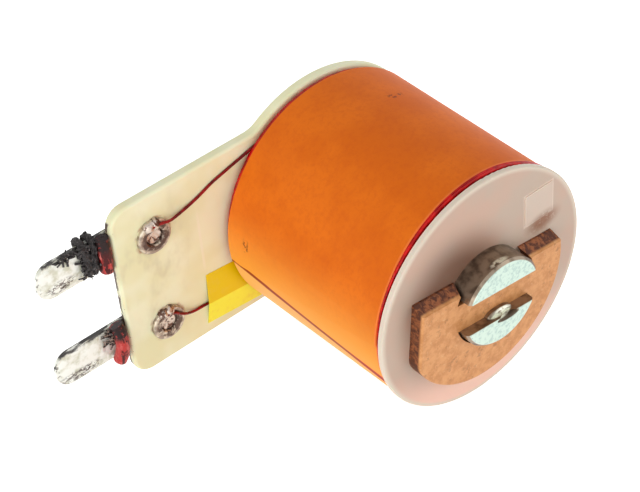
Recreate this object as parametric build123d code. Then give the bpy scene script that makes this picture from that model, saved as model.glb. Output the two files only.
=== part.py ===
from build123d import *
import math
import os

# Alternating-current relay coil: a wound nylon bobbin with a terminal tab, a slotted pole core
# with a copper shading ring, and two eyeletted solder lugs.
# Millimetres, +Z up. The coil axis is Y: the mounting face is y = 0 and the pole face looks to -Y.
# The tab reaches to -X. The origin is the mouth of the tapped hole in the mounting face.

# ---- driving dimensions ----
flange_d = 35.0             # both bobbin flanges
flange_t = 1.6              # rear flange and tab
flange_round = 0.45         # outer edges of the rear flange and the tab
front_flange_t = 0.85
front_flange_round = 0.2
winding_length = 30.3       # between the inner faces of the flanges
barrel_wall = 1.0
tab_reach = 34.3            # axis to the free end of the tab
tab_w = 28.3
tab_corner_r = 2.8
tab_blend_r = 4.0           # concave blend from the tab into the round flange
maker_pad = 5.0             # bare square pad on the front flange
maker_pad_rise = 0.15
maker_pad_place = (10.0, 8.3)

core_d = 13.0
pole_rise = 3.6             # front flange face to pole face
slot_w = 4.9
slot_angle = -6.0           # turn of the slot from the tab direction
pole_chamfer = 0.4
heel_chamfer = 0.3
thread_wall_d = 4.1         # tapping hole for a number 10 screw
thread_depth = 12.7
drill_point = 59.0          # half angle of the drill's point

ring_d = 26.4
ring_place = (-1.0, 0.7)    # middle of its round blank, in the slot's own directions
ring_t = 2.1
ring_chord = 4.05           # height of the ring's straight top edge above the axis
ring_roll = (0.85, 1.8)     # how far that edge rolls over: down its face, back from its front
ring_flat = 12.7            # axis to the sheared side of the ring, towards the tab
ring_corner_r = 3.0         # where the sheared side meets the round
ring_edge_r = 0.3
ring_clearance = 0.25       # around the lower pole half
notch_clearance = 0.55      # around the upper pole half
stake_w = 4.4               # lip punched over the shading ring
stake_reach = 0.8
stake_t = 0.75
stake_offset = 0.5          # along the slot from the coil axis
punch_w = 4.0               # mark left by the punch behind the lip
punch_t = 1.1
punch_depth = 0.7
punch_taper = 20.0
punch_offset = (0.8, -0.35) # from the middle of the lip's root

lead_room = 0.05            # play over the start lead and its tape, between rear flange and winding
winding_rear_sunk = 0.05    # last layer below the flange rims: the layers build up more at the rear
winding_front_sunk = 0.5
paper_t = 0.2
paper_rear_gap = 1.3        # rear flange to the paper's edge
paper_front_gap = 0.65      # mean distance of the paper's skewed edge from the front flange
paper_front_skew = 0.55     # how much that distance swings round the coil
paper_skew_side = 60.0      # side of the coil where the distance is largest
lap_edge_angle = 189.0      # paper's free edge at the rear
lap_skew = 12.0             # how far the edge runs round by the front
lap_spread = 40.0           # overlap measured round the coil

wire_d = 0.4                # magnet wire, as thick as its leads
eyelet_pitch = 15.24
eyelet_inset = 6.0          # eyelet axis from the free end of the tab
eyelet_flange_d = 5.2
eyelet_barrel_d = 3.2
eyelet_wall = 0.35
eyelet_roll = 0.55          # height of the rolled flange

lug_w = 5.5
lug_t = 0.6
lug_stand = 10.85           # how far a lug stands out past the tab
lug_lift = 0.45             # a lug's middle above its eyelet's axis
lug_corner_r = 2.4
solder_t = 0.25             # tinning on the front of a lug
solder_length = 8.1
solder_inset = 0.3
bead_r = 0.92               # solder over the end of a lead
lead_over = 1.9             # how far a lead's end lies from the eyelet axis

tape_t = 0.1
lead_bare = 6.8             # eyelet axis to the strip's free end
tape_under = 6.3            # how far the strip runs in under the coil's side
tape_drop = 1.05            # fold below the lower eyelet's axis
tape_angle = -5.0           # lie of the strip from the tab's own direction
tape_upper_w = 4.8          # fold to upper edge
tape_lower_w = 3.6          # fold to lower edge
tape_back = 0.2             # strip's free end past the start of its fold

stub_d = 1.9                # insulated hook-up wire cut off at the lugs
char_d = 1.25               # charred wire wrapped round the upper lug
strand_d = 0.42
stub_gap = 0.1              # tab to the nearest cut wire
stub_sink = 0.12            # how deep the cut wires sit in the solder on a lug

# ---- derived places ----
flange_r = flange_d / 2
core_r = core_d / 2
barrel_r = core_r + barrel_wall
wire_r = wire_d / 2
tab_face = -flange_t                        # front face of the tab and rear flange
end_gap = wire_d + tape_t + lead_room
winding_rear = tab_face - end_gap
winding_rear_r = flange_r - winding_rear_sunk
winding_front_r = flange_r - winding_front_sunk
front_inner = tab_face - winding_length
front_face = front_inner - front_flange_t
ring_face = front_face - ring_t
pole_face = front_face - pole_rise
slot_half = slot_w / 2
tab_end = -tab_reach
eyelet_x = tab_end + eyelet_inset
eyelet_z = eyelet_pitch / 2
lug_half = lug_w / 2
lug_tip_x = tab_end - lug_stand
upper_lug_z = eyelet_z + lug_lift
lower_lug_z = lug_lift - eyelet_z
solder_end_x = lug_tip_x + solder_length
stub_r = stub_d / 2
stub_lift = stub_sink - stub_r              # centre line of a cut wire that lies on a lug
tape_crest = (eyelet_x + lead_bare, -eyelet_z - tape_drop)
tape_length = tape_under - flange_r - tape_crest[0] + tape_back
on_tab = tab_face - wire_r                  # centre line of a lead that lies on the tab
on_eyelet = tab_face - eyelet_roll - wire_r
eyelet_bore_r = eyelet_barrel_d / 2 - eyelet_wall
big = 4 * flange_d


def disc_stack(outline, start, length):
    """A flat outline drawn across the coil, made solid from y = start towards the front."""
    return extrude(Plane.XZ.offset(-start) * outline, length)


def turned(points):
    """A body turned about the coil axis from (radius, y) points."""
    return revolve(Plane.XY * make_face(Polyline(*points, close=True)), Axis.Y)


def on_radius(radius, angle):
    """A point of a cross-section at a radius and an angle from +X towards +Z."""
    return (radius * math.cos(math.radians(angle)), radius * math.sin(math.radians(angle)))


def edges_at(part, y):
    """The edges that lie in one cross plane."""
    return part.edges().filter_by_position(Axis.Y, y - 1e-3, y + 1e-3)


# ---- bobbin: barrel, both flanges and the terminal tab in one moulding ----
def make_bobbin():
    outline = Circle(flange_r) + Pos(-tab_reach / 2, 0) * Rectangle(tab_reach, tab_w)
    ends = [v for v in outline.vertices() if v.X < -tab_reach + 0.1]
    outline = fillet(ends, tab_corner_r)
    joins = [v for v in outline.vertices()
             if abs(abs(v.Y) - tab_w / 2) < 0.01 and v.X > -flange_r]
    outline = fillet(joins, tab_blend_r)
    rear = disc_stack(outline, 0, flange_t)
    rear = fillet(edges_at(rear, 0) + edges_at(rear, tab_face), flange_round)

    front = disc_stack(Circle(flange_r), front_inner, front_flange_t)
    front = fillet(edges_at(front, front_inner) + edges_at(front, front_face), front_flange_round)
    barrel = disc_stack(Circle(barrel_r), tab_face / 2,
                        winding_length + (flange_t + front_flange_t) / 2)
    pad = disc_stack(Pos(*maker_pad_place) * RectangleRounded(maker_pad, maker_pad, 0.4),
                     front_face + maker_pad_rise, 2 * maker_pad_rise)
    body = rear + front + barrel + pad
    body -= disc_stack(Circle(core_r), 1, big)
    for side in (1, -1):
        body -= disc_stack(Pos(eyelet_x, side * eyelet_z) * Circle(eyelet_barrel_d / 2), 1, 4)
    return body


# ---- pole core: turned bar with a cross slot, a staked lip and a tapped mounting hole ----
def in_slot(shape):
    """Turns a flat outline from the slot's own directions into the coil's."""
    return Rot(0, 0, slot_angle) * shape


def make_pole_core():
    drill_tip = thread_wall_d / 2 / math.tan(math.radians(drill_point))
    body = turned([(0, -thread_depth - drill_tip), (thread_wall_d / 2, -thread_depth),
                   (thread_wall_d / 2, 0), (core_r - heel_chamfer, 0), (core_r, -heel_chamfer),
                   (core_r, pole_face + pole_chamfer),
                   (core_r - pole_chamfer, pole_face), (0, pole_face)])
    slot = disc_stack(in_slot(Rectangle(big, slot_w)), front_face, big)
    body -= slot
    # the lip: metal of the lower half driven over the ring by a punch, which leaves a notch
    lip_outline = in_slot(Pos(stake_offset, -slot_half) * Ellipse(stake_w / 2, stake_reach))
    lip = disc_stack(lip_outline, ring_face, stake_t)
    tightest = stake_reach ** 2 / (stake_w / 2)
    lip = chamfer(edges_at(lip, ring_face - stake_t), 0.76 * tightest)
    mark = in_slot(Pos(stake_offset + punch_offset[0], punch_offset[1] - slot_half)
                   * Ellipse(punch_w / 2, punch_t / 2))
    notch = extrude(Plane.XZ.offset(-pole_face) * mark, -punch_depth, taper=punch_taper)
    return body + lip - notch


# ---- shading ring: thick copper stamping under one pole half and through the slot ----
def make_shading_ring():
    blank = Pos(*ring_place) * Circle(ring_d / 2)
    blank -= Pos(-ring_flat - big / 2, 0) * Rectangle(big, big)
    blank = fillet([v for v in blank.vertices() if v.Y < 0], ring_corner_r)
    blank -= Pos(0, ring_chord + big / 2) * Rectangle(big, big)
    half_plane = Pos(0, big / 2) * Rectangle(big, big)
    notch = Circle(core_r + notch_clearance) & Pos(0, slot_half - 0.5) * half_plane
    window = Circle(core_r + ring_clearance) & Pos(0, -slot_half - big) * half_plane
    body = disc_stack(in_slot(blank - notch - window), front_face, ring_t)
    rim = [e for e in edges_at(body, ring_face)
           if max(abs(Vector(*e.center()).X), abs(Vector(*e.center()).Z)) > core_r + 1.5]
    body = fillet(rim, ring_edge_r)
    # the straight top edge is rolled over towards its front
    roll = Plane.YZ * make_face(Polyline(
        (ring_face + ring_roll[1], ring_chord), (ring_face + ring_roll[1], ring_chord + big),
        (ring_face - ring_t, ring_chord + big), (ring_face - ring_t, ring_chord - ring_roll[0]),
        (ring_face, ring_chord - ring_roll[0]), close=True))
    return body - Rot(0, -slot_angle, 0) * extrude(roll, big, both=True)


# ---- winding and its paper wrapper ----
def winding_radius(y):
    """The winding tapers evenly from its rear end to the front flange."""
    share = (y - front_inner) / (winding_rear - front_inner)
    return winding_front_r + share * (winding_rear_r - winding_front_r)


def make_winding():
    return turned([(barrel_r, winding_rear), (winding_rear_r, winding_rear),
                   (winding_front_r, front_inner), (barrel_r, front_inner)])


def lap_section(y):
    """Cross-section of the overlapping end of the sheet, which thins out where it climbs."""
    under = winding_radius(y) + paper_t / 2
    outer = under + paper_t / 2
    reach = lap_edge_angle + lap_skew + 6
    climb = lap_edge_angle - lap_spread
    flat = climb + lap_spread / 2
    top = outer + paper_t
    outline = [
        Line(on_radius(under, reach), on_radius(top, reach)),
        ThreePointArc(on_radius(top, reach), on_radius(top, (reach + flat) / 2), on_radius(top, flat)),
        ThreePointArc(on_radius(top, flat), on_radius((top + outer) / 2, (flat + climb) / 2),
                      on_radius(outer, climb)),
        Line(on_radius(outer, climb), on_radius(under, climb)),
        ThreePointArc(on_radius(under, climb), on_radius(under, (climb + reach) / 2),
                      on_radius(under, reach))]
    return Plane.XZ.offset(-y) * make_face(outline)


def make_paper_wrapper():
    start, stop = tab_face - paper_rear_gap, front_inner
    rear_r, front_r = winding_radius(start), winding_radius(stop)
    tube = turned([(rear_r, start), (rear_r + paper_t, start), (front_r + paper_t, stop),
                   (front_r, stop)])
    lap = loft([lap_section(start), lap_section(stop)])
    # the free edge of the sheet runs askew along the coil
    skew = math.degrees(math.atan(math.radians(lap_skew) * rear_r / (start - stop)))
    trim = Box(big, big, big, align=(Align.CENTER, Align.CENTER, Align.MAX))
    body = tube + (lap & Rot(0, -lap_edge_angle, 0) * Pos(rear_r, start, 0) * Rot(skew, 0, 0) * trim)
    # so does the front edge, on a slant round the coil
    tilt = math.degrees(math.atan(paper_front_skew / front_r))
    cut = Box(big, big, big, align=(Align.CENTER, Align.MAX, Align.CENTER))
    return body - (Pos(0, front_inner + paper_front_gap, 0) * Rot(0, -paper_skew_side, 0)
                   * Rot(0, 0, tilt) * cut)


# ---- terminals: eyelet, solder lug and solder at each side of the tab ----
def make_eyelet(side):
    """A tubular rivet: formed flange on the tab, barrel through tab and lug, clinch behind."""
    bore, barrel, head = eyelet_bore_r, eyelet_barrel_d / 2, eyelet_flange_d / 2
    clinch = head - 0.4
    front, back = tab_face - eyelet_roll, lug_t + 0.45
    profile = make_face(Polyline((bore, front), (head, front), (head, tab_face), (barrel, tab_face),
                                 (barrel, lug_t), (clinch, lug_t), (clinch, back), (bore, back),
                                 close=True))
    rounded = [v for v in profile.vertices() if v.Y < tab_face - 0.1 or v.Y > lug_t + 0.1]
    profile = fillet(rounded, 0.27)
    return Pos(eyelet_x, 0, side * eyelet_z) * revolve(Plane.XY * profile, Axis.Y)


def make_lug(side):
    """A flat tag behind the tab, held by the eyelet."""
    inner_x = eyelet_x + lug_half
    outline = Pos((inner_x + lug_tip_x) / 2, 0) * Rectangle(inner_x - lug_tip_x, lug_w)
    tips = [v for v in outline.vertices() if v.X < lug_tip_x + 0.1]
    outline = fillet(tips, lug_corner_r)
    heels = [v for v in outline.vertices() if v.X > inner_x - 0.1]
    outline = fillet(heels, lug_half - 0.05)
    outline -= Pos(eyelet_x, -lug_lift) * Circle(eyelet_barrel_d / 2)
    return disc_stack(Pos(0, side * eyelet_z + lug_lift) * outline, lug_t, lug_t)


def make_lug_solder(side):
    """The pillow of solder on the front of a lug, run back from the tip."""
    outline = (Pos(solder_end_x - solder_length / 2, 0)
               * Rectangle(solder_length - 2 * solder_inset, lug_w - 2 * solder_inset))
    outline = fillet([v for v in outline.vertices() if v.X < lug_tip_x + 1],
                     lug_corner_r - solder_inset)
    outline = fillet([v for v in outline.vertices() if v.X > solder_end_x - 1], 1.2)
    pillow = disc_stack(Pos(0, side * eyelet_z + lug_lift) * outline, 0, solder_t)
    return fillet(edges_at(pillow, -solder_t), solder_t * 0.8)


def make_eyelet_solder(side, neighbours):
    """Solder in the eyelet's bore with a bead run up over the end of the lead."""
    fill_top, fill_bottom = tab_face - 0.1, lug_t - 0.1
    # the plug ends in the straight bore, short of the rounded mouth
    plug = turned([(0, fill_top), (eyelet_bore_r, fill_top - 0.1), (eyelet_bore_r, fill_bottom),
                   (0, fill_bottom + 0.2)])
    plug = Pos(eyelet_x, 0, side * eyelet_z) * plug
    crown = tab_face - eyelet_roll + bead_r / 2
    over_x, over_z = eyelet_x - lead_over / 10, side * eyelet_z + lead_over
    solder = (plug + Pos(over_x + bead_r / 2, crown, over_z) * Sphere(bead_r)
              + Pos(over_x - bead_r / 2, crown, over_z - 0.1) * Sphere(bead_r))
    for neighbour in neighbours:
        solder -= neighbour
    return solder


# ---- wires and tape ----
def wire_along(points, radius):
    """A round wire whose corners are rounded as widely as the runs beside them allow."""
    places = [Vector(*p) for p in points]
    radii = []
    for before, here, after in zip(places, places[1:], places[2:]):
        turn = math.radians((here - before).get_angle(after - here))
        run = min((here - before).length, (after - here).length)
        radii.append(0.45 * run / math.tan(turn / 2))
    path = FilletPolyline(*places, radius=radii)
    return sweep(Plane(path @ 0, z_dir=path % 0) * Circle(radius), path)


def along_fold(distance):
    """A point of the tape's fold, as (x, z), at a distance from the strip's free end."""
    angle = math.radians(tape_angle)
    return (tape_crest[0] + distance * math.cos(angle), tape_crest[1] + distance * math.sin(angle))


def between(start, end, stations):
    """Points of a lead from start to end, each a share of the way, a step aside and a height."""
    run = Vector(*end) - Vector(*start)
    aside = Vector(-run.Y, run.X).normalized()
    places = [Vector(*start) + run * share + aside * step for share, step, height in stations]
    return [(p.X, height, p.Y) for p, (share, step, height) in zip(places, stations)]


def lead_end(side):
    """Where a lead ends on its eyelet, as (x, z): over the rim, on the upper side of the bore."""
    return (eyelet_x - lead_over / 2, side * eyelet_z + lead_over)


def make_finish_lead():
    """Outer end of the winding: out of the gap at the rear flange, across the tab, onto the eyelet."""
    start = on_radius(flange_r - 1.175, 122.6)
    return wire_along(between(start, lead_end(1), [
        (0, 0, on_tab - 0.5), (0.145, 0.8, on_tab), (0.318, 0.92, on_tab), (0.491, 1.09, on_tab),
        (0.614, 1.62, on_tab), (0.742, 1.68, on_tab - 0.1), (0.85, 1.16, on_eyelet - 0.02),
        (0.924, 0.28, on_eyelet), (1, 0, on_eyelet)]), wire_r)


def make_start_lead():
    """Inner end of the winding: along the rear flange under the tape, then onto the eyelet."""
    first, second = along_fold(tape_length + 5.4), along_fold(tape_length + 2.5)
    far, near = along_fold(tape_length - 1.0), along_fold(-0.8)
    under = [(first[0], on_tab - 0.5, first[1] + 2.16), (second[0], on_tab, second[1] + 0.9),
             (far[0], on_tab, far[1])]
    return wire_along(under + between(near, lead_end(-1), [
        (0, 0, on_tab), (0.243, 0.52, on_tab - 0.15), (0.526, 0.3, on_eyelet - 0.04),
        (0.779, -0.39, on_eyelet), (1, 0, on_eyelet)]), wire_r)


def make_lead_tape():
    """A strip folded like a low tent over the start lead and running in under the winding."""
    crest = tab_face - wire_d - 0.01
    rise = tab_face - crest
    lean = tape_t / math.cos(math.atan(rise / tape_lower_w))
    section = Polyline((tab_face, tape_upper_w), (crest, 0), (tab_face, -tape_lower_w),
                       (tab_face - lean, -tape_lower_w), (crest - lean, 0),
                       (tab_face - lean, tape_upper_w), close=True)
    strip = extrude(Plane.YZ * make_face(section), tape_length)
    return Pos(tape_crest[0] - tape_back, 0, tape_crest[1]) * Rot(0, -tape_angle, 0) * strip


def arch(start, middle, end, radius):
    """A piece of wire bent to one arc."""
    path = ThreePointArc(start, middle, end)
    return sweep(Plane(path @ 0, z_dir=path % 0) * Circle(radius), path)


def make_lower_wire_insulation(lug):
    """A cut piece of hook-up wire that crosses the lug and bows away from it in the middle."""
    side = tab_end - stub_gap - stub_r
    return arch((side - 0.65, stub_lift, lower_lug_z - lug_half),
                (side - 0.15, stub_lift - 0.55, lower_lug_z),
                (side - 0.35, stub_lift, lower_lug_z + lug_half + 0.6), stub_r) - lug


def make_lower_wire_strands(others):
    """Frayed strands that leave the insulation's side and run down into the solder."""
    rest = 0.03 - strand_d / 2
    leaving = tab_end - stub_gap - stub_r - 0.75
    strands = None
    for high, low, lift in ((2.3, 2.5, 0.1), (1.9, 1.8, 0.35), (1.4, 0.9, 0.15), (0.9, -0.3, 0.3)):
        strand = wire_along([(leaving, rest - 0.5, lower_lug_z + high),
                             (leaving - 1.4, rest - lift, lower_lug_z + (high + low) / 2),
                             (leaving - 3.0, rest, lower_lug_z + low)], strand_d / 2)
        strands = strand if strands is None else strands + strand
    for other in others:
        strands -= other
    return strands


def make_upper_wire_insulation(lug):
    """A cut piece of hook-up wire that lies across the lug against the tab."""
    side = tab_end - stub_gap - stub_r
    return arch((side, stub_lift, upper_lug_z - lug_half + 0.4),
                (side + 0.05, stub_lift - 0.1, upper_lug_z),
                (side, stub_lift, upper_lug_z + lug_half + 0.2), stub_r) - lug


def make_upper_wire_char(others):
    """Two turns of charred wire round the lug, side by side and askew."""
    loop_w, loop_h = lug_w + char_d * 0.9, lug_t + char_d * 0.9
    first = tab_end - stub_gap - stub_d - char_d * 0.4
    turns = []
    for x, lean in ((first, 4.0), (first - char_d * 0.8, -5.0)):
        path = (Plane.YZ * RectangleRounded(loop_h, loop_w, 0.935 * loop_h / 2)).wire()
        loop = sweep(Plane(path @ 0, z_dir=path % 0) * Circle(char_d / 2), path)
        turns.append(Pos(x, lug_t / 2, upper_lug_z) * Rot(0, lean, 0) * loop)
    mass = turns[0] + turns[1]
    for other in others:
        mass -= other
    return mass


def main():
    nodes = {
        "bobbin": make_bobbin(),
        "pole_core": make_pole_core(),
        "shading_ring": make_shading_ring(),
        "winding": make_winding(),
        "paper_wrapper": make_paper_wrapper(),
        "lead_tape": make_lead_tape(),
    }
    leads = {1: make_finish_lead() - nodes["winding"], -1: make_start_lead() - nodes["winding"]}
    nodes["finish_lead"], nodes["start_lead"] = leads[1], leads[-1]
    for side, name in ((1, "upper"), (-1, "lower")):
        eyelet, lug = make_eyelet(side), make_lug(side)
        nodes[name + "_eyelet"], nodes[name + "_lug"] = eyelet, lug
        nodes[name + "_lug_solder"] = make_lug_solder(side)
        nodes[name + "_eyelet_solder"] = make_eyelet_solder(
            side, (nodes["bobbin"], eyelet, leads[side]))
    insulation = make_lower_wire_insulation(nodes["lower_lug"])
    nodes["lower_wire_insulation"] = insulation
    nodes["lower_wire_strands"] = make_lower_wire_strands(
        [nodes["lower_lug"], insulation, nodes["lower_lug_solder"]])
    insulation = make_upper_wire_insulation(nodes["upper_lug"])
    nodes["upper_wire_insulation"] = insulation
    nodes["upper_wire_char"] = make_upper_wire_char(
        [nodes["upper_lug"], insulation, nodes["upper_lug_solder"]])

    os.makedirs("parts", exist_ok=True)
    for name, solid in nodes.items():
        export_step(solid, f"parts/{name}.step")


if __name__ == "__main__":
    main()
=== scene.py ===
import logging
import math
import random
from dataclasses import dataclass, field
from enum import Enum

import bmesh
import bpy
from mathutils import Matrix, Vector, noise


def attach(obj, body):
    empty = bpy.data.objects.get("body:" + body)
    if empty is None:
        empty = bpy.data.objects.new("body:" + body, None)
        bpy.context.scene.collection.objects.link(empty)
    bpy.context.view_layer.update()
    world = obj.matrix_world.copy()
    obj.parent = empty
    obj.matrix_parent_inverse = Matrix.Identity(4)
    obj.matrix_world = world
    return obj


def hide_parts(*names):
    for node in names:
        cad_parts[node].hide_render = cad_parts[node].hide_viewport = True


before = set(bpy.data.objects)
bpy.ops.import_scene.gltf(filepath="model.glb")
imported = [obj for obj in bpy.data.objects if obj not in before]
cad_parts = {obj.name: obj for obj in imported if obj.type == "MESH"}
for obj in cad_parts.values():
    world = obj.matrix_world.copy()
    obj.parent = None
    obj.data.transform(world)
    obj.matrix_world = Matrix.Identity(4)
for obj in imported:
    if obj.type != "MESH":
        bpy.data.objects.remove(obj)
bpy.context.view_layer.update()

# Relay coil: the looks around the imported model. Lengths in the classes are millimetres,
# apart from the studio lamps, which are in metres like the scene.

MM = 0.001
BODY = "root"
LOG = logging.getLogger("relay_coil")

Colour = tuple[int, int, int]
Point = tuple[float, float, float]
Spot = tuple[Point, Point]


@dataclass(frozen=True)
class Places:
    """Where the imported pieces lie, in millimetres."""

    tab_face: float = -1.6
    winding_rear: float = -2.15
    paper_rear: float = -2.9
    front_inner: float = -31.9
    front_face: float = -32.75
    ring_face: float = -34.85
    pole_face: float = -36.35
    tab_end: float = -34.3
    eyelet_x: float = -28.3
    eyelet_z: float = 7.62
    lug_tip: float = -45.15
    lug_half: float = 2.75
    lug_lift: float = 0.45
    tinned: float = 8.1
    bore_r: float = 2.05
    bore_length: float = 12.7
    thread_pitch: float = 0.794
    paper_gap: float = 0.65
    paper_skew: float = 0.55
    paper_skew_side: float = math.radians(60)

    def lug_z(self, side: "Side") -> float:
        """Height of a lug's middle."""
        return side.value * self.eyelet_z + self.lug_lift


AT = Places()


class Side(Enum):
    """The two terminals of the tab."""

    UPPER = 1
    LOWER = -1

    @property
    def word(self) -> str:
        """The side's name as the nodes carry it."""
        return self.name.lower()


def linear(colour: Colour) -> tuple[float, float, float, float]:
    """Turns an everyday colour into the renderer's linear one.

    Args:
        colour: Red, green and blue, 0 to 255.

    Returns:
        Linear red, green, blue and a full alpha.
    """
    parts = [c / 255 for c in colour]
    return (*[p / 12.92 if p <= 0.04045 else ((p + 0.055) / 1.055) ** 2.4 for p in parts], 1.0)


class Surface:
    """One node material under construction, patterned on object coordinates."""

    def __init__(self, name: str) -> None:
        """Starts an empty material with one Principled shader.

        Args:
            name: Name of the material.
        """
        self.material = bpy.data.materials.new(name)
        self.material.use_nodes = True
        self.tree = self.material.node_tree
        self.shader = self.tree.nodes["Principled BSDF"]
        self.place = self.node("ShaderNodeTexCoord").outputs["Object"]
        split = self.node("ShaderNodeSeparateXYZ")
        self.join(self.place, split.inputs[0])
        self.x, self.y, self.z = split.outputs

    def node(self, kind: str, **settings: object) -> bpy.types.Node:
        """Adds a node and sets its properties."""
        made = self.tree.nodes.new(kind)
        for key, value in settings.items():
            setattr(made, key, value)
        return made

    def join(self, source: bpy.types.NodeSocket, target: bpy.types.NodeSocket) -> None:
        """Links two sockets."""
        self.tree.links.new(source, target)

    def feed(self, target: bpy.types.NodeSocket, value: object) -> None:
        """Gives a socket a link, a number or a colour."""
        if isinstance(value, bpy.types.NodeSocket):
            self.join(value, target)
        else:
            target.default_value = value

    def sum(self, kind: str, first: object, second: object = 0.0,
            third: object = 0.0) -> bpy.types.NodeSocket:
        """One arithmetic step.

        Args:
            kind: Name of the operation.
            first: First operand, a socket or a number.
            second: Second operand.
            third: Third operand, where the operation has one.

        Returns:
            The result's socket.
        """
        step = self.node("ShaderNodeMath", operation=kind)
        for socket, value in zip(step.inputs, (first, second, third)):
            self.feed(socket, value)
        return step.outputs[0]

    def grain(self, size: float, detail: float = 3.0, rough: float = 0.55,
              stretch: Point = (1, 1, 1), warp: float = 0.0) -> bpy.types.NodeSocket:
        """Cloudy noise.

        Args:
            size: Size of a patch in millimetres.
            detail: Octaves.
            rough: Weight of the finer octaves.
            stretch: How much shorter the patches are along each axis.
            warp: Distortion.

        Returns:
            The noise, 0 to 1.
        """
        mapping = self.node("ShaderNodeMapping")
        mapping.inputs["Scale"].default_value = stretch
        self.join(self.place, mapping.inputs["Vector"])
        made = self.node("ShaderNodeTexNoise")
        self.join(mapping.outputs[0], made.inputs["Vector"])
        made.inputs["Scale"].default_value = 1 / (size * MM)
        made.inputs["Detail"].default_value = detail
        made.inputs["Roughness"].default_value = rough
        made.inputs["Distortion"].default_value = warp
        return made.outputs[0]

    def step(self, value: object, low: float, high: float) -> bpy.types.NodeSocket:
        """A smooth step from 0 at low to 1 at high; the ends may be the other way round."""
        made = self.node("ShaderNodeMapRange", interpolation_type="SMOOTHSTEP")
        flip = low > high
        self.feed(made.inputs["Value"], value)
        made.inputs["From Min"].default_value = high if flip else low
        made.inputs["From Max"].default_value = low if flip else high
        made.inputs["To Min"].default_value = 1.0 if flip else 0.0
        made.inputs["To Max"].default_value = 0.0 if flip else 1.0
        return made.outputs[0]

    def band(self, value: object, middle: float, outer: float, inner: float) -> bpy.types.NodeSocket:
        """A soft line where a value is near its middle.

        Args:
            value: The value to follow.
            middle: Where the line lies.
            outer: Distance from the middle at which it has gone.
            inner: Distance within which it is full.

        Returns:
            The mask, 0 to 1.
        """
        return self.step(self.sum("ABSOLUTE", self.sum("SUBTRACT", value, middle)), outer, inner)

    def both(self, first: object, second: object) -> bpy.types.NodeSocket:
        """Where two masks meet, or a mask weakened by a number."""
        return self.sum("MULTIPLY", first, second)

    def radius(self) -> bpy.types.NodeSocket:
        """Distance from the coil axis, in metres."""
        return self.sum("SQRT", self.sum("ADD", self.sum("MULTIPLY", self.x, self.x),
                                         self.sum("MULTIPLY", self.z, self.z)))

    def spot(self, centre: Point, size: Point) -> bpy.types.NodeSocket:
        """Distance from a place, in units of size along each axis.

        Args:
            centre: Middle of the spot in millimetres.
            size: Half extents in millimetres.

        Returns:
            0 in the middle, 1 at the edge of the ellipsoid.
        """
        shift = self.node("ShaderNodeVectorMath", operation="SUBTRACT")
        self.join(self.place, shift.inputs[0])
        shift.inputs[1].default_value = [c * MM for c in centre]
        scale = self.node("ShaderNodeVectorMath", operation="DIVIDE")
        self.join(shift.outputs[0], scale.inputs[0])
        scale.inputs[1].default_value = [s * MM for s in size]
        length = self.node("ShaderNodeVectorMath", operation="LENGTH")
        self.join(scale.outputs[0], length.inputs[0])
        return length.outputs["Value"]

    def over(self, mask: object, below: object, above: object) -> bpy.types.NodeSocket:
        """Lays one colour over another.

        Args:
            mask: How much of the upper colour shows.
            below: Lower colour, a socket or a Colour.
            above: Upper colour.

        Returns:
            The mixed colour.
        """
        made = self.node("ShaderNodeMix", data_type="RGBA")
        self.feed(made.inputs[0], mask)
        for socket, value in ((made.inputs[6], below), (made.inputs[7], above)):
            self.feed(socket, linear(value) if isinstance(value, tuple) else value)
        return made.outputs[2]

    def finish(self, colour: object, rough: object, bump: object = None, depth: float = 0.02,
               strength: float = 0.5, **sockets: float) -> bpy.types.Material:
        """Ends the material.

        Args:
            colour: Base colour.
            rough: Roughness.
            bump: Height for the bump, if any.
            depth: Depth of the bump in millimetres.
            strength: Strength of the bump.
            sockets: Constant values for further sockets, spaces written as underscores.

        Returns:
            The finished material.
        """
        self.feed(self.shader.inputs["Base Color"], linear(colour) if isinstance(colour, tuple) else colour)
        self.feed(self.shader.inputs["Roughness"], rough)
        if bump is not None:
            made = self.node("ShaderNodeBump")
            made.inputs["Strength"].default_value = strength
            made.inputs["Distance"].default_value = depth * MM
            self.join(bump, made.inputs["Height"])
            self.join(made.outputs[0], self.shader.inputs["Normal"])
        for key, value in sockets.items():
            self.shader.inputs[key.replace("_", " ")].default_value = value
        return self.material


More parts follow.
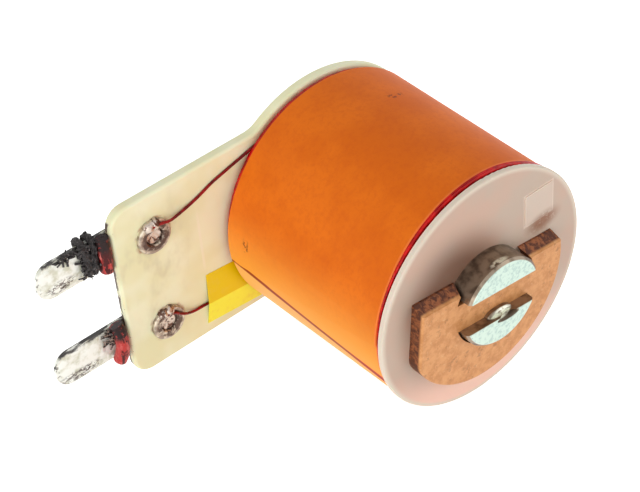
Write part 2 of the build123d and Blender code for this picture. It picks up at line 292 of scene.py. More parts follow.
# ---- finishes ----
@dataclass(frozen=True)
class NaturalNylon:
    """Cream moulded nylon, with the red winding glowing through the thin front flange."""

    cream: Colour = (238, 235, 190)
    pale: Colour = (245, 245, 210)
    olive: Colour = (214, 208, 170)
    blush: Colour = (208, 174, 154)
    blush_pale: Colour = (200, 178, 160)
    # painted light: the lighter pink of the front flange's lower part
    pink: Colour = (248, 204, 184)
    rim: Colour = (226, 212, 194)
    rim_edge_highlight: Colour = (252, 226, 208)
    shade: Colour = (112, 76, 58)
    pad_highlight: Colour = (232, 212, 196)
    grime: Colour = (74, 52, 38)
    rust: Colour = (176, 104, 74)
    ridge: Colour = (252, 246, 222)
    smudge: Colour = (142, 90, 56)
    ridge_x: float = -21.25
    cloudy: Spot = ((-30.0, AT.tab_face, 4.0), (8, 3, 13))
    shaded: Spot = ((-5.0, AT.front_face, 4.0), (9.5, 6, 8.5))
    smudged: Spot = ((10.8, AT.front_face, 5.0), (3.4, 1.4, 1.9))
    stain_r: float = 2.9
    pad: tuple[float, float] = (10.0, 8.3)
    pad_half: float = 2.5

    def make(self) -> bpy.types.Material:
        """Builds the material."""
        s = Surface("natural_nylon")
        base = s.over(s.step(s.grain(7.0, 2.0), 0.35, 0.65), self.cream, self.pale)
        cloud = s.step(s.grain(4.0, 3.0, 0.6, stretch=(1, 1, 0.6)), 0.42, 0.72)
        near = s.step(s.spot(*self.cloudy), 1.2, 0.4)
        base = s.over(s.both(s.both(cloud, 0.85), near), base, self.olive)
        # faint straight ridge of the tab, where the terminals' pocket ends
        ridge = s.both(s.band(s.x, self.ridge_x * MM, 0.3 * MM, 0.08 * MM),
                       s.both(s.step(s.z, -4 * MM, -1 * MM), s.step(s.z, 9 * MM, 4 * MM)))
        base = s.over(s.both(ridge, 0.5), base, self.ridge)
        front = s.step(s.y, (AT.front_inner + 0.1) * MM, AT.front_inner * MM)
        disc = s.step(s.radius(), 17.35 * MM, 16.6 * MM)
        blush = s.over(s.step(s.grain(6.0, 2.0), 0.3, 0.7), self.blush, self.blush_pale)
        # painted light: the front flange is painted lighter and pinker towards the bottom
        blush = s.over(s.step(s.z, -4 * MM, -15 * MM), blush, self.pink)
        # the hollow between the pole and the winding's side lies in a soft brown shade
        blush = s.over(s.both(s.step(s.spot(*self.shaded), 1.2, 0.35), 0.9), blush, self.shade)
        # painted highlight: a thin pale line along the rear corner of the front flange's rim
        rim = s.over(s.band(s.y, (AT.front_inner - 0.1) * MM, 0.16 * MM, 0.06 * MM),
                     self.rim, self.rim_edge_highlight)
        base = s.over(front, base, s.over(disc, rim, blush))
        # painted highlight on the bare pad's raised edge; the pad within it is painted paler too
        base = s.over(s.both(front, self.frame(s)), base, self.pad_highlight)
        # brown dirt under the bare pad, against the ring's corner
        smudge = s.both(s.step(s.spot(*self.smudged), 1.15, 0.2),
                        s.step(s.grain(0.6, 4.0, 0.65), 0.24, 0.5))
        base = s.over(s.both(smudge, 0.95), base, self.smudge)
        # broken free end of the tab: a thin wandering dark line at its rear corner
        wander = s.sum("MULTIPLY_ADD", s.grain(1.8, 3.0, 0.6), 0.9 * MM, s.y)
        line = s.step(s.sum("ABSOLUTE", wander), 0.5 * MM, 0.25 * MM)
        line = s.both(line, s.step(s.x, (AT.tab_end + 0.35) * MM, (AT.tab_end + 0.2) * MM))
        edge = s.both(line, s.step(s.grain(1.6, 3.0), 0.3, 0.4))
        chip = s.both(s.step(s.x, (AT.tab_end + 0.4) * MM, (AT.tab_end + 0.1) * MM),
                      s.step(s.grain(0.5, 4.0, 0.7), 0.62, 0.7))
        base = s.over(s.sum("MAXIMUM", edge, chip), base, self.grime)
        for side in Side:
            ring = s.spot((AT.eyelet_x, AT.tab_face, side.value * AT.eyelet_z),
                          (self.stain_r, 1.4, self.stain_r))
            stain = s.both(s.both(s.step(ring, 1.08, 0.92), s.step(s.grain(1.4), 0.4, 0.7)), 0.7)
            base = s.over(stain, base, self.rust)
        return s.finish(base, 0.42, s.grain(0.5, 2.0), 0.01, 0.2,
                        Subsurface_Weight=0.12, Subsurface_Scale=0.0015, Specular_IOR_Level=0.4)

    def frame(self, s: Surface) -> bpy.types.NodeSocket:
        """Mask of the painted highlight on the thin raised edge round the bare pad, with the pad within it
        painted paler.
        """
        reach = s.sum("MAXIMUM", s.sum("ABSOLUTE", s.sum("SUBTRACT", s.x, self.pad[0] * MM)),
                      s.sum("ABSOLUTE", s.sum("SUBTRACT", s.z, self.pad[1] * MM)))
        line = s.band(reach, self.pad_half * MM, 0.3 * MM, 0.08 * MM)
        inside = s.both(s.step(reach, self.pad_half * MM, (self.pad_half - 0.3) * MM), 0.45)
        return s.sum("MAXIMUM", s.both(line, 0.8), inside)


@dataclass(frozen=True)
class OrangePaper:
    """Satin orange insulating paper with a fine fibre and one lap."""

    mid: Colour = (226, 106, 4)
    deep: Colour = (214, 92, 10)
    light: Colour = (236, 116, 12)
    # painted light on the paper's lower left
    pale: Colour = (255, 172, 66)
    # painted light on the lap's strip beyond the seam
    under: Colour = (255, 186, 104)
    seam: Colour = (150, 22, 6)
    wedge: Colour = (232, 72, 18)
    cut_edge: Colour = (255, 132, 66)
    scuff: Colour = (122, 48, 18)
    scuffs: tuple[Spot, ...] = (((-17.48, -6.50, 2.01), (1.4, 0.7, 1.3)),
                                ((5.6, -11.1, 16.6), (2.0, 0.7, 1.0)))
    lap_rear: float = -2.984
    lap_run: float = 0.209
    length: float = AT.paper_rear - AT.front_inner

    def make(self) -> bpy.types.Material:
        """Builds the material."""
        s = Surface("orange_paper")
        base = s.over(s.step(s.grain(8.0, 2.0), 0.35, 0.65), self.mid, self.light)
        base = s.over(s.both(s.step(s.grain(0.8, 5.0, 0.75), 0.4, 0.7), 0.42), base, self.deep)
        # painted light: the paper's lower left is painted paler, on top of the light of the table_side lamp
        painted_light = s.both(s.step(s.z, 8 * MM, -6 * MM), s.step(s.x, -7 * MM, -16 * MM))
        base = s.over(painted_light, base, self.pale)
        turn = s.sum("ARCTAN2", s.z, s.x)
        along = s.sum("DIVIDE", s.sum("SUBTRACT", AT.paper_rear * MM, s.y), self.length * MM)
        seam = s.sum("SUBTRACT", turn, s.sum("MULTIPLY_ADD", along, self.lap_run, self.lap_rear))
        # painted light: the lap's strip beyond the seam, on the lit lower left, is painted paler still
        beyond = s.both(s.step(seam, 0.0, 0.01), s.step(seam, 0.5, 0.3))
        base = s.over(beyond, base, self.under)
        # the seam is a dark red line that widens to a wedge near the front
        wide = s.sum("MULTIPLY_ADD", s.step(along, 0.55, 1.0), 0.05, 0.008)
        wedge = s.both(s.step(s.sum("DIVIDE", s.sum("ABSOLUTE", seam), wide), 1.0, 0.7),
                       s.step(along, 0.5, 0.7))
        base = s.over(wedge, base, self.wedge)
        base = s.over(s.step(s.sum("ABSOLUTE", seam), 0.034, 0.012), base, self.seam)
        # the cut front edge runs askew and catches the light
        cut = s.sum("MULTIPLY", s.sum("COSINE", s.sum("SUBTRACT", turn, AT.paper_skew_side)),
                    AT.paper_skew * MM)
        cut = s.sum("SUBTRACT", s.sum("SUBTRACT", s.y, (AT.front_inner + AT.paper_gap) * MM), cut)
        base = s.over(s.both(s.step(cut, 0.35 * MM, 0.1 * MM), 0.7), base, self.cut_edge)
        for centre, size in self.scuffs:
            mark = s.both(s.step(s.spot(centre, size), 1.2, 0.3), s.step(s.grain(0.45, 3.0), 0.5, 0.62))
            base = s.over(mark, base, self.scuff)
        fibre = s.grain(0.4, 3.0, 0.6, stretch=(1, 0.5, 1))
        return s.finish(base, 0.55, fibre, 0.008, 0.25, Specular_IOR_Level=0.18)


@dataclass(frozen=True)
class SoftSteel:
    """Turned soft steel: pale mottled pole faces, dull brown-grey sides with painted highlights, and
    painted shade in the thread grooves.
    """

    face: Colour = (214, 236, 222)
    mottle: Colour = (186, 212, 202)
    flank: Colour = (152, 136, 118)
    dark: Colour = (102, 88, 74)
    painted_highlight: Colour = (222, 224, 208)
    # painted shade in the thread's grooves
    groove: Colour = (34, 30, 26)
    highlight_spot: Spot = ((0.1, -35.5, 6.5), (1.8, 0.5, 0.7))
    lip: Spot = ((0.2, -35.5, -2.6), (2.0, 0.5, 0.9))

    def make(self) -> bpy.types.Material:
        """Builds the material."""
        s = Surface("soft_steel")
        flank = s.over(s.step(s.grain(1.6, 3.0, 0.5), 0.38, 0.65), self.flank, self.dark)
        face = s.over(s.step(s.grain(0.5, 3.0, 0.6), 0.45, 0.65), self.face, self.mottle)
        # painted highlights: a bright patch on the side of the upper pole half near its face, and a bright
        # staking lip on the lower half
        highlight_spot = s.both(s.step(s.spot(*self.highlight_spot), 1.1, 0.5), s.step(s.grain(0.7, 3.0), 0.34, 0.5))
        lip = s.both(s.step(s.spot(*self.lip), 1.1, 0.8), s.step(s.grain(0.6, 3.0), 0.3, 0.5))
        flank = s.over(s.sum("MAXIMUM", highlight_spot, lip), flank, self.painted_highlight)
        front = s.step(s.y, (AT.pole_face + 0.12) * MM, (AT.pole_face + 0.02) * MM)
        # painted shade in the grooves of the cut thread, painted highlight on its ridges
        climb = s.sum("MULTIPLY_ADD", s.sum("ARCTAN2", s.z, s.x), 1 / math.tau,
                      s.sum("DIVIDE", s.y, AT.thread_pitch * MM))
        groove = s.step(s.sum("PINGPONG", climb, 0.5), 0.12, 0.4)
        bore = s.both(s.both(s.step(s.radius(), 2.75 * MM, 2.6 * MM), s.step(s.y, -0.02 * MM, -0.12 * MM)),
                      s.step(s.y, -13.0 * MM, -12.6 * MM))
        flank = s.over(s.both(bore, groove), flank, self.groove)
        flank = s.over(s.both(bore, s.step(groove, 0.4, 0.0)), flank, self.painted_highlight)
        rough = s.sum("MULTIPLY_ADD", s.grain(0.5, 3.0), 0.2, 0.26)
        s.feed(s.shader.inputs["Metallic"], s.sum("MULTIPLY_ADD", front, -0.6, 0.85))
        return s.finish(s.over(front, flank, face), rough, s.grain(0.3, 4.0, 0.7), 0.02, 0.3)


@dataclass(frozen=True)
class BareCopper:
    """Mottled copper, darker and ragged on the sheared edges: partly rough sheared metal, partly painted
    shade on the ring's side walls.
    """

    face: Colour = (216, 154, 98)
    warm: Colour = (196, 132, 76)
    pale: Colour = (226, 184, 138)
    stain: Colour = (150, 100, 60)
    # partly rough sheared metal, partly painted shade
    edge: Colour = (84, 42, 23)
    edge_warm: Colour = (158, 93, 54)

    def make(self) -> bpy.types.Material:
        """Builds the material."""
        s = Surface("bare_copper")
        face = s.over(s.step(s.grain(1.3, 4.0, 0.65), 0.36, 0.66), self.face, self.warm)
        face = s.over(s.both(s.step(s.grain(0.6, 4.0, 0.7), 0.55, 0.75), 0.6), face, self.pale)
        face = s.over(s.both(s.step(s.grain(1.1, 3.0, 0.6), 0.6, 0.72), 0.55), face, self.stain)
        # the side walls are painted dark and ragged: partly rough sheared metal, partly painted shade
        streak = s.grain(0.7, 4.0, 0.7, stretch=(1, 0.6, 1), warp=0.8)
        edge = s.over(s.step(streak, 0.42, 0.62), self.edge, self.edge_warm)
        side = s.step(s.y, (AT.ring_face + 0.22) * MM, (AT.ring_face + 0.6) * MM)
        ragged = s.grain(0.5, 4.0, 0.7, stretch=(1, 0.4, 1))
        return s.finish(s.over(side, face, edge), 0.5, ragged, 0.03, 0.35, Metallic=0.3)


@dataclass(frozen=True)
class Enamel:
    """Deep red varnish on copper wire."""

    name: str = "red_enamel"
    deep: Colour = (176, 4, 8)
    bright: Colour = (220, 20, 18)

    def make(self) -> bpy.types.Material:
        """Builds the material."""
        s = Surface(self.name)
        base = s.over(s.step(s.grain(1.5, 2.0), 0.4, 0.6), self.deep, self.bright)
        return s.finish(base, 0.25, s.grain(0.4, 2.0), 0.01, 0.2,
                        Specular_IOR_Level=0.2, Coat_Weight=0.06, Coat_Roughness=0.1)


@dataclass(frozen=True)
class Tinned:
    """Solder or dark strand: bright, with smoky flux in patches."""

    name: str
    bright: Colour = (226, 228, 222)
    smoke: Colour = (70, 60, 54)
    smoke_from: float = 0.58
    patch: float = 0.9
    rough: float = 0.2
    stretch: Point = (1, 1, 1)

    def make(self) -> bpy.types.Material:
        """Builds the material."""
        s = Surface(self.name)
        cloud = s.grain(self.patch, 4.0, 0.6, self.stretch, warp=0.6)
        base = s.over(s.step(cloud, self.smoke_from, self.smoke_from + 0.08), self.bright, self.smoke)
        rough = s.sum("MULTIPLY_ADD", s.grain(0.6, 2.0), 0.25, self.rough)
        return s.finish(base, rough, s.grain(0.5, 3.0, 0.6), 0.05, 0.5, Metallic=0.9)


@dataclass(frozen=True)
class EyeletTin:
    """Tin on one eyelet: a pale rolled rim and dark flux in its throat."""

    side: Side
    rim: Colour = (204, 192, 172)
    grey: Colour = (150, 134, 120)
    flux: Colour = (82, 62, 52)

    def make(self) -> bpy.types.Material:
        """Builds the material."""
        s = Surface(f"{self.side.word}_eyelet_tin")
        reach = s.spot((AT.eyelet_x, AT.tab_face, self.side.value * AT.eyelet_z), (2.6, 4, 2.6))
        base = s.over(s.step(s.grain(0.9, 3.0), 0.4, 0.6), self.rim, self.grey)
        wander = s.sum("MULTIPLY_ADD", s.grain(1.2, 3.0), 0.4, reach)
        throat = s.both(s.step(wander, 1.1, 0.94), s.step(s.grain(0.8, 3.0, warp=0.5), 0.36, 0.5))
        base = s.over(throat, base, self.flux)
        return s.finish(base, 0.34, s.grain(0.6, 3.0), 0.04, 0.5, Metallic=0.55)


@dataclass(frozen=True)
class LugTin:
    """Tin on one lug: near white, with a painted dark reflection along its upper edge and round its tip,
    and streaks of burnt flux.
    """

    side: Side
    white: Colour = (246, 248, 240)
    haze: Colour = (206, 206, 184)
    smoke: Colour = (46, 42, 40)
    flux: Colour = (72, 56, 44)
    streak_drop: float = -1.7
    streak_half: float = 3.4

    def make(self) -> bpy.types.Material:
        """Builds the material."""
        s = Surface(f"{self.side.word}_lug_tin")
        middle = AT.lug_z(self.side)
        base = s.over(s.step(s.grain(1.4, 3.0), 0.42, 0.68), self.white, self.haze)
        # painted dark reflection along the lug's upturned edge, and round its tip below
        wander = s.sum("MULTIPLY_ADD", s.grain(1.1, 3.0, 0.6), 1.1 * MM, s.z)
        top = s.step(wander, (middle + 2.75) * MM, (middle + 3.1) * MM)
        base = s.over(s.both(top, s.step(s.grain(0.7, 3.0, stretch=(0.4, 1, 1)), 0.36, 0.5)),
                      base, self.smoke)
        tip = s.both(s.step(s.x, (AT.lug_tip + 0.7) * MM, (AT.lug_tip + 0.1) * MM),
                     s.step(s.grain(0.7, 3.0), 0.52, 0.6))
        base = s.over(tip, base, self.smoke)
        place = s.spot((AT.lug_tip + 3.4, -0.3, middle + self.streak_drop), (self.streak_half, 2, 1.0))
        streak = s.both(s.step(place, 1.25, 0.6),
                        s.step(s.grain(0.5, 5.0, 0.7, stretch=(0.7, 1, 1), warp=0.9), 0.46, 0.54))
        base = s.over(streak, base, self.flux)
        return s.finish(base, 0.3, s.grain(0.8, 3.0, 0.5), 0.03, 0.35, Metallic=0.15, Coat_Weight=0.3)


@dataclass(frozen=True)
class FilmTape:
    """Yellow film tape: deeper on the slope away from the light."""

    upper: Colour = (238, 208, 0)
    lower: Colour = (255, 250, 50)
    patch: Colour = (236, 206, 60)
    crest_z: float = -10.55
    crest_slant: float = -0.087

    def make(self) -> bpy.types.Material:
        """Builds the material."""
        s = Surface("yellow_film")
        slope = s.sum("SUBTRACT", s.z, s.sum("MULTIPLY_ADD", s.x, self.crest_slant, self.crest_z * MM))
        base = s.over(s.step(slope, -0.05 * MM, 0.15 * MM), self.lower, self.upper)
        base = s.over(s.both(s.step(s.grain(1.5, 2.0), 0.5, 0.7), 0.35), base, self.patch)
        return s.finish(base, 0.3, s.grain(0.8, 2.0), 0.02, 0.25,
                        Specular_IOR_Level=0.2, Coat_Weight=0.08, Coat_Roughness=0.15)


@dataclass(frozen=True)
class Sleeve:
    """Red hook-up wire insulation, scorched by the iron."""

    side: Side
    red: Colour = (188, 60, 56)
    pink: Colour = (214, 112, 106)
    scorch: Colour = (74, 18, 18)
    burnt: Colour = (38, 22, 22)
    scorch_from: float = 0.52

    def make(self) -> bpy.types.Material:
        """Builds the material."""
        s = Surface(f"{self.side.word}_sleeve")
        base = s.over(s.step(s.grain(0.5, 3.0, stretch=(1, 1, 0.4)), 0.5, 0.7), self.red, self.pink)
        scorched = s.step(s.grain(0.8, 4.0, 0.6, stretch=(1.6, 1, 0.5)),
                          self.scorch_from, self.scorch_from + 0.1)
        base = s.over(scorched, base, self.scorch)
        top = s.spot((AT.tab_end - 1.2, -0.8, AT.lug_z(self.side) + 3.4), (2.6, 3.0, 2.6))
        burnt = s.both(s.step(top, 1.1, 0.7), s.step(s.grain(0.5, 3.0), 0.26, 0.46))
        base = s.over(burnt, base, self.burnt)
        return s.finish(base, 0.4, s.grain(0.3, 3.0), 0.06, 0.7, Specular_IOR_Level=0.2)


@dataclass(frozen=True)
class Char:
    """Burnt black crust with a little grey ash."""

    black: Colour = (40, 35, 35)
    ash: Colour = (104, 98, 98)

    def make(self) -> bpy.types.Material:
        """Builds the material."""
        s = Surface("char")
        base = s.over(s.step(s.grain(0.4, 4.0, 0.7), 0.52, 0.7), self.black, self.ash)
        return s.finish(base, 0.6, s.grain(0.2, 4.0, 0.7), 0.08, 0.8)


def made_by(kind: type, *given: object, **named: object) -> bpy.types.Material:
    """A field of the wardrobe that makes its finish when the wardrobe is made.

    Args:
        kind: Class of the finish.
        given: Its values, in order.
        named: Its values by name.

    Returns:
        The dataclass field.
    """
    return field(default_factory=lambda: kind(*given, **named).make())


@dataclass
class Wardrobe:
    """Every finish of the coil, made once."""

    nylon: bpy.types.Material = made_by(NaturalNylon)
    paper: bpy.types.Material = made_by(OrangePaper)
    steel: bpy.types.Material = made_by(SoftSteel)
    copper: bpy.types.Material = made_by(BareCopper)
    enamel: bpy.types.Material = made_by(Enamel)
    lead: bpy.types.Material = made_by(Enamel, "lead_enamel", (104, 4, 6), (152, 14, 14))
    solder: bpy.types.Material = made_by(Tinned, "solder", stretch=(0.5, 1, 1.3))
    tape: bpy.types.Material = made_by(FilmTape)
    char: bpy.types.Material = made_by(Char)
    upper_tin: bpy.types.Material = made_by(LugTin, Side.UPPER, streak_drop=-1.3, streak_half=2.3)
    lower_tin: bpy.types.Material = made_by(LugTin, Side.LOWER)
    upper_ring: bpy.types.Material = made_by(EyeletTin, Side.UPPER)
    lower_ring: bpy.types.Material = made_by(EyeletTin, Side.LOWER)
    bead: bpy.types.Material = made_by(
        Tinned, "eyelet_solder", bright=(196, 182, 170), smoke=(96, 70, 60), smoke_from=0.5,
        patch=0.8, rough=0.25)
    upper_sleeve: bpy.types.Material = made_by(Sleeve, Side.UPPER, scorch_from=0.42)
    lower_sleeve: bpy.types.Material = made_by(Sleeve, Side.LOWER)
    strand: bpy.types.Material = made_by(
        Tinned, "dark_strand", bright=(150, 128, 116), smoke=(40, 30, 30), smoke_from=0.45,
        patch=0.5, rough=0.3)


# ---- shared shop tools ----
def put_in_scene(bm: bmesh.types.BMesh, name: str, material: bpy.types.Material) -> bpy.types.Object:
    """Makes a finished object of a mesh.

    Args:
        bm: The mesh, in metres, in the object's own place. It is freed.
        name: Name of the piece.
        material: Its finish.

    Returns:
        The object, riding on the coil's one body.
    """
    bmesh.ops.recalc_face_normals(bm, faces=bm.faces)
    for face in bm.faces:
        face.smooth = True
    mesh = bpy.data.meshes.new(name)
    bm.to_mesh(mesh)
    bm.free()
    stored = mesh.attributes.get("custom_normal")
    if stored:  # a copy of a CAD node must shade by its new shape
        mesh.attributes.remove(stored)
    made = bpy.data.objects.new(name, mesh)
    bpy.context.scene.collection.objects.link(made)
    made.data.materials.append(material)
    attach(made, BODY)
    LOG.info("%s: %d faces", name, len(mesh.polygons))
    return made


def dress(node: str, material: bpy.types.Material) -> None:
    """Gives a CAD node its finish."""
    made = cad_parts[node]
    made.data.materials.clear()
    made.data.materials.append(material)
    LOG.info("%s: %s", node, material.name)


def merged_copy(node: str) -> bmesh.types.BMesh:
    """A welded copy of a CAD node's mesh, ready for fine work."""
    bm = bmesh.new()
    bm.from_mesh(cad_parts[node].data)
    bmesh.ops.remove_doubles(bm, verts=bm.verts, dist=0.002 * MM)
    return bm


def roughen(bm: bmesh.types.BMesh, size: float, depth: float) -> None:
    """Sinks each vertex along its normal by smooth noise, so the piece keeps inside its first shape.

    Args:
        bm: The mesh.
        size: Size of a lump in millimetres.
        depth: Largest move in millimetres.
    """
    bm.normal_update()
    moves = [-abs(noise.noise(vert.co / (size * MM))) * depth * MM for vert in bm.verts]
    for vert, move in zip(bm.verts, moves):
        vert.co += vert.normal * move


@dataclass
class Winding:
    """The wound wire: a plain drum with real turns where they show at its two ends."""

    wire_d: float = 0.4
    barrel_r: float = 7.5
    rear_r: float = 17.45
    front_r: float = 17.0
    rear_y: float = AT.winding_rear
    front_y: float = AT.front_inner
    front_turns: int = 6
    bulge: float = 0.36
    rear_turns: int = 4
    steps: int = 120
    play: float = 0.05
    uneven_over: float = 5.0
    uneven_out: float = -0.04
    uneven_along: float = 0.05

    def drum(self, bm: bmesh.types.BMesh) -> None:
        """Lathes the drum, sunk by half a wire under the turns."""
        sunk = 0.5 * self.wire_d
        outline = [(self.barrel_r, self.rear_y), (self.rear_r - sunk, self.rear_y),
                   (self.front_r - sunk, self.front_y), (self.barrel_r, self.front_y)]
        verts = [bm.verts.new((r * MM, y * MM, 0)) for r, y in outline]
        edges = [bm.edges.new((a, b)) for a, b in zip(verts, verts[1:] + verts[:1])]
        bmesh.ops.spin(bm, geom=verts + edges, cent=(0, 0, 0), axis=(0, 1, 0), dvec=(0, 0, 0),
                       angle=math.tau, steps=self.steps, use_merge=True)

    def turns(self, bm: bmesh.types.BMesh, y: float, radius: float, count: int, way: int,
              seed: float) -> None:
        """Winds a run of turns, slightly uneven.

        Args:
            bm: Mesh to add to.
            y: Where the first turn lies.
            radius: Outer radius of the turns.
            count: Number of turns.
            way: 1 or -1, the way the turns advance along the axis.
            seed: Shifts the unevenness.
        """
        made = bmesh.ops.create_circle(bm, segments=8, radius=self.wire_d / 2 * MM)
        centre = Matrix.Translation(((radius - self.wire_d / 2) * MM, y * MM, 0))
        bmesh.ops.transform(bm, matrix=centre, verts=made["verts"])
        first = made["verts"]
        geom = first + list({edge for vert in first for edge in vert.link_edges})
        before = set(bm.verts)
        advance = way * self.wire_d * MM / self.steps
        bmesh.ops.spin(bm, geom=geom, cent=(0, 0, 0), axis=(0, 1, 0), dvec=(0, advance, 0),
                       angle=math.tau * count, steps=self.steps * count)
        for vert in set(bm.verts) - before | set(first):
            turn = vert.co.copy() / (self.uneven_over * MM)
            turn.y *= 6  # neighbouring turns differ more than places along one turn
            outward = Vector((vert.co.x, 0, vert.co.z)).normalized()
            vert.co += outward * noise.noise(turn + Vector((seed, 0, 0))) * self.uneven_out * MM
            if way > 0:  # the front turns stand up where the paper's skewed edge leaves them bare
                round_by = math.atan2(outward.z, outward.x) - AT.paper_skew_side
                bare = AT.paper_gap + AT.paper_skew * math.cos(round_by)
                free = bare - (vert.co.y / MM - self.front_y)
                vert.co += outward * self.bulge * MM * min(1.0, max(0.0, free / 0.2 + 0.5))
            vert.co.y += noise.noise(turn + Vector((0, seed, 9))) * self.uneven_along * MM * way

    def build(self, wardrobe: Wardrobe) -> None:
        """Makes the winding in place of its plain drum."""
        bm = bmesh.new()
        self.drum(bm)
        inset = self.wire_d / 2 + self.play
        self.turns(bm, self.front_y + inset, self.front_r, self.front_turns, 1, 3.0)
        self.turns(bm, self.rear_y - inset, self.rear_r, self.rear_turns, -1, 11.0)
        made = put_in_scene(bm, "winding_turns", wardrobe.enamel)
        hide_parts("winding")


@dataclass
class ThreadedCore:
    """The pole core with its thread cut in the mounting hole."""

    depth: float = 0.36
    flat: float = 0.12
    cuts: int = 128
    fade: float = 0.7
    sharp_from: float = math.radians(30)

    def wall(self, bm: bmesh.types.BMesh) -> list[bmesh.types.BMFace]:
        """The faces of the hole's straight wall."""
        def on_wall(vert: bmesh.types.BMVert) -> bool:
            reach = math.hypot(vert.co.x, vert.co.z) / MM
            return abs(reach - AT.bore_r) < 0.02 and vert.co.y / MM > -AT.bore_length - 0.1
        return [face for face in bm.faces if all(on_wall(vert) for vert in face.verts)]

    def build(self, wardrobe: Wardrobe) -> None:
        """Cuts the wall into rings and pushes them out along a helix."""
        bm = merged_copy("pole_core")
        faces = self.wall(bm)
        heights = [vert.co.y for face in faces for vert in face.verts]
        top, bottom = max(heights), min(heights)
        for index in range(1, self.cuts):
            level = top + (bottom - top) * index / self.cuts
            geom = set(faces)
            for face in faces:
                geom.update(face.edges, face.verts)
            cut = bmesh.ops.bisect_plane(bm, geom=list(geom), plane_co=(0, level, 0), plane_no=(0, 1, 0))
            faces = [part for part in cut["geom"] if isinstance(part, bmesh.types.BMFace)]
        margin = 0.01 * MM
        for vert in {vert for face in faces for vert in face.verts}:
            if not bottom + margin < vert.co.y < top - margin:
                continue
            turn = math.atan2(vert.co.z, vert.co.x)
            climb = (vert.co.y / MM / AT.thread_pitch + turn / math.tau) % 1.0
            wave = min(1.0, max(0.0, (1 - abs(2 * climb - 1) - self.flat) / (1 - 2 * self.flat)))
            near = min(top - vert.co.y, vert.co.y - bottom) / MM / self.fade
            reach = (AT.bore_r + self.depth * wave * min(1.0, near)) * MM
            vert.co.x, vert.co.z = reach * math.cos(turn), reach * math.sin(turn)
        made = put_in_scene(bm, "threaded_core", wardrobe.steel)
        made.data.set_sharp_from_angle(angle=self.sharp_from)
        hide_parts("pole_core")


@dataclass
class LugTinning:
    """Solder that wraps the tip of a lug, rounded and uneven."""

    side: Side
    tip_x: float = AT.lug_tip
    inner_x: float = AT.lug_tip + AT.tinned
    back_y: float = 0.78
    front_y: float = -0.42
    square: float = 3.4
    seed: float = 0.0

    def build(self, wardrobe: Wardrobe) -> None:
        """Makes the tinning in place of its plain pillow."""
        bm = bmesh.new()
        bmesh.ops.create_icosphere(bm, subdivisions=6, radius=1.0)
        half = Vector(((self.inner_x - self.tip_x) / 2, (self.back_y - self.front_y) / 2, AT.lug_half))
        middle = Vector(((self.inner_x + self.tip_x) / 2, (self.back_y + self.front_y) / 2,
                         AT.lug_z(self.side)))
        for vert in bm.verts:
            n = vert.co.normalized()
            flat = (abs(n.x) ** self.square + abs(n.z) ** self.square) ** (2 / self.square)
            reach = (flat + abs(n.y) ** 2) ** 0.5
            body = Vector((n.x, n.y, n.z)) / reach
            spread = Vector((body.x * half.x, body.y * half.y, body.z * half.z))
            # one soft ridge and one furrow along the lug, and smaller dents
            dent = 0.12 * noise.noise(Vector((spread.x / 3.0, self.seed, spread.z / 1.1)))
            dent += 0.05 * noise.noise(Vector((spread.x / 0.9, self.seed + 5, spread.z / 0.8)))
            if body.y < 0:
                spread.y -= dent * min(1.0, -body.y * 1.6) - 0.12 * -body.y
            edge = 0.06 + 0.06 * noise.noise(Vector((spread.x, spread.z, self.seed)) / 1.3)
            spread.x *= 1 - edge * 0.3
            spread.z *= 1 - edge
            vert.co = (middle + spread) * MM
        tin = wardrobe.upper_tin if self.side is Side.UPPER else wardrobe.lower_tin
        made = put_in_scene(bm, f"{self.side.word}_lug_tinning", tin)
        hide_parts(f"{self.side.word}_lug_solder")


@dataclass
class BurntWire:
    """Charred wire round the upper lug, with bristles of burnt strand."""

    bristles: int = 170
    bristle_r: float = 0.13
    middle: Point = (-37.2, 0.3, AT.lug_z(Side.UPPER))
    edge: float = 0.16
    squeeze: float = 0.66
    stray_from: float = 0.8
    seed: int = 5

    def crust(self, wardrobe: Wardrobe) -> None:
        """Roughens the two turns into a crust."""
        bm = merged_copy("upper_wire_char")
        bmesh.ops.triangulate(bm, faces=bm.faces)
        for _ in range(4):
            long = [edge for edge in bm.edges if edge.calc_length() > self.edge * MM]
            if not long:
                break
            bmesh.ops.subdivide_edges(bm, edges=long, cuts=1)
            bmesh.ops.triangulate(bm, faces=bm.faces)
        for vert in bm.verts:
            drop = vert.co.z / MM - self.middle[2]
            if drop < 0:
                vert.co.z = (self.middle[2] + drop * self.squeeze) * MM
        roughen(bm, 0.7, 0.55)
        roughen(bm, 0.22, 0.2)
        made = put_in_scene(bm, "upper_burnt_crust", wardrobe.char)
        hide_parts("upper_wire_char")

    def build(self, wardrobe: Wardrobe) -> None:
        """Makes the crust and its bristles."""
        self.crust(wardrobe)
        draw = random.Random(self.seed)
        bm = bmesh.new()
        for _ in range(self.bristles):
            stray = draw.random() > self.stray_from
            z = self.middle[2] + draw.uniform(-1.9, 3.2)
            start = Vector((self.middle[0] + draw.uniform(-1.2, 2.5), draw.uniform(-1.0, -0.3), z))
            if stray:  # some lie along the lug's upper edge
                start = Vector((draw.uniform(-41.5, -38.2), draw.uniform(-0.5, 0.1),
                                self.middle[2] + draw.uniform(2.2, 2.9)))
            lean = Vector((draw.uniform(-1.3, 0.7), draw.uniform(-0.25, 0.25), draw.uniform(-1.0, 1.0)))
            bend = Vector((0, draw.uniform(-0.2, 0.1), draw.uniform(-0.2, 0.2)))
            thread(bm, [start, start + lean * 0.5 + bend, start + lean],
                   self.bristle_r * draw.uniform(0.4, 1.4))
        made = put_in_scene(bm, "upper_burnt_bristles", wardrobe.char)


